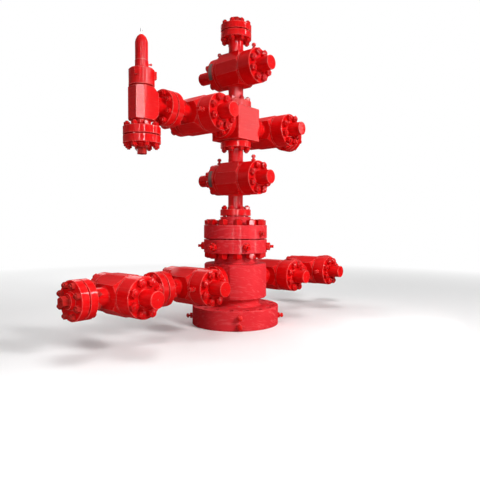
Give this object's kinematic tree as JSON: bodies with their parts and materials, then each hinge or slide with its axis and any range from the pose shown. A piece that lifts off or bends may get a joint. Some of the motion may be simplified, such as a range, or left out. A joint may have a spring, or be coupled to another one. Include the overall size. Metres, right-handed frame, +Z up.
{
  "type": "oil wellhead valve stack",
  "caption": "Flanged tubing head with casing valves, carrying a tree of gate valves round a cross, with a choke on one wing.",
  "frame": {"origin": "centre of the bottom flange's underside, on the well's axis", "axes": "+Z up the well bore, X along the wings and the casing outlets with the choke towards -X, valve stem caps towards -Y"},
  "size_m": [2.8926, 0.694, 2.3022],
  "materials": {
    "red_paint": "gloss",
    "head_paint": "satin",
    "dark_primer": "satin",
    "bright_steel": "satin"
  },
  "bodies": {
    "root": {"tubing_head": "head_paint", "tie_down_screws": "red_paint", "test_ports": "red_paint", "tubing_head_adapter": "red_paint", "cross_block": "red_paint", "master_valve_body": "red_paint", "swab_valve_body": "red_paint", "left_wing_valve_body": "red_paint", "right_wing_valve_body": "red_paint", "left_inner_casing_valve_body": "red_paint", "left_outer_casing_valve_body": "red_paint", "right_inner_casing_valve_body": "red_paint", "right_outer_casing_valve_body": "red_paint", "master_valve_front_bonnet": "red_paint", "swab_valve_front_bonnet": "red_paint", "left_wing_valve_front_bonnet": "red_paint", "right_wing_valve_front_bonnet": "red_paint", "left_inner_casing_valve_front_bonnet": "red_paint", "left_outer_casing_valve_front_bonnet": "red_paint", "right_inner_casing_valve_front_bonnet": "red_paint", "right_outer_casing_valve_front_bonnet": "red_paint", "master_valve_rear_bonnet": "red_paint", "swab_valve_rear_bonnet": "red_paint", "left_wing_valve_rear_bonnet": "red_paint", "right_wing_valve_rear_bonnet": "red_paint", "left_inner_casing_valve_rear_bonnet": "red_paint", "left_outer_casing_valve_rear_bonnet": "red_paint", "right_inner_casing_valve_rear_bonnet": "red_paint", "right_outer_casing_valve_rear_bonnet": "red_paint", "tree_cap_flange": "red_paint", "right_wing_flange": "red_paint", "left_casing_flange": "red_paint", "right_casing_flange": "red_paint", "choke_outlet_flange": "red_paint", "tree_cap_plug": "dark_primer", "right_wing_plug": "dark_primer", "left_casing_plug": "dark_primer", "right_casing_plug": "dark_primer", "choke_outlet_plug": "dark_primer", "choke_body": "red_paint", "choke_hammer_nut": "red_paint", "choke_bonnet": "red_paint", "choke_indicator_rod": "bright_steel", "grease_fittings": "red_paint"}
  },
  "joints": []
}
